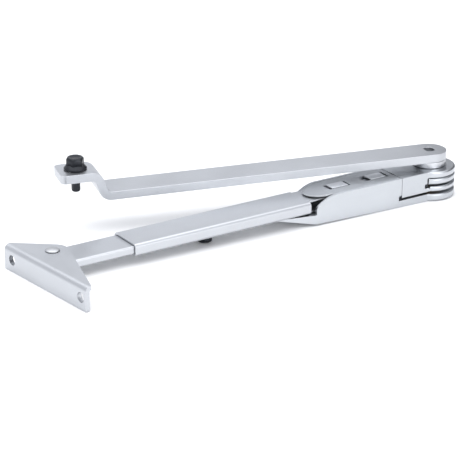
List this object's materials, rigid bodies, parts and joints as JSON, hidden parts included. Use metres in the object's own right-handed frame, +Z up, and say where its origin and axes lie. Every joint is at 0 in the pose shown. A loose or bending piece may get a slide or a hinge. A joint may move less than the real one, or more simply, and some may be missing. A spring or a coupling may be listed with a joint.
{
  "type": "hold-open link arm for a door closer",
  "caption": "Folding link arm for an overhead door closer: cranked main arm, hold-open elbow unit, telescoping forearm and pivoting foot bracket.",
  "frame": {"origin": "centre of the pivot cap's lower face: on the elbow axis, on the face that the elbow rests on", "axes": "+X runs along the forearm from the foot bracket to the elbow, +Z is up along the elbow axis, +Y completes a right-handed frame"},
  "size_m": [0.3499, 0.1457, 0.0567],
  "materials": {
    "silver_zinc": "satin silver finish, fine grain",
    "housing_steel": "satin silver finish over pressed steel",
    "bright_zinc": "bright zinc plate",
    "hard_steel": "ground hardened steel",
    "bush_bronze": "sintered bronze",
    "black_screw": "blackened steel, slight sheen"
  },
  "bodies": {
    "forearm": {"housing_channel": "housing_steel", "housing_cover": "housing_steel", "knuckle_block": "housing_steel", "spring_seat": "bright_zinc", "upper_bush": "bush_bronze", "lower_bush": "bush_bronze", "pivot_cap": "bright_zinc", "latch_spring": "hard_steel", "outer_tube": "silver_zinc"},
    "upper_arm": {"main_arm": "silver_zinc", "pivot_axle": "hard_steel", "elbow_spacer": "bright_zinc", "detent_disc": "housing_steel"},
    "spindle_screw": {"spindle_screw": "black_screw"},
    "latch": {"latch_slide": "bright_zinc", "roller_pin": "hard_steel", "guide_rod": "hard_steel"},
    "roller": {"latch_roller": "hard_steel"},
    "bar": {"inner_bar": "silver_zinc", "foot_rivet": "bright_zinc", "foot_washer": "bright_zinc"},
    "bracket": {"foot_bracket": "silver_zinc"},
    "clamp_washer": {"clamp_washer": "black_screw"},
    "clamp_screw": {"clamp_screw": "black_screw"}
  },
  "joints": [
    {"name": "elbow", "type": "hinge", "parent": "forearm", "child": "upper_arm", "pos_m": [0, 0, 0.02], "axis": [0, 0, -1], "range_deg": [-14, 150]},
    {"name": "spindle_screw_turn", "type": "hinge", "parent": "upper_arm", "child": "spindle_screw", "pos_m": [-0.25489, 0.06682, 0.045], "axis": [0, 0, 1], "continuous": true},
    {"name": "bar_slide", "type": "slide", "parent": "forearm", "child": "bar", "axis": [-1, 0, 0], "range_m": [-0.012, 0.04]},
    {"name": "foot_pivot", "type": "hinge", "parent": "bar", "child": "bracket", "pos_m": [-0.3092, 0, 0.02], "axis": [0, 0, 1], "range_deg": [-85, 65]},
    {"name": "latch_travel", "type": "slide", "parent": "forearm", "child": "latch", "axis": [-1, 0, 0], "range_m": [0, 0.0025], "stiffness_N_per_m": 3000, "springref_m": -0.005, "deforming": ["latch_spring"]},
    {"name": "roller_turn", "type": "hinge", "parent": "latch", "child": "roller", "pos_m": [-0.02455, 0, 0.0148], "axis": [0, 0, 1], "continuous": true},
    {"name": "clamp_travel", "type": "slide", "parent": "forearm", "child": "clamp_washer", "axis": [0, 0, -1], "range_m": [0, 0.0025]},
    {"name": "clamp_turn", "type": "hinge", "parent": "clamp_washer", "child": "clamp_screw", "pos_m": [-0.1928, 0, 0.01], "axis": [0, 0, -1], "range_deg": [0, 720.1]}
  ],
  "couplings": [
    {"joint": "clamp_turn", "follows": "clamp_travel", "rad_per_m": 5026.5}
  ]
}
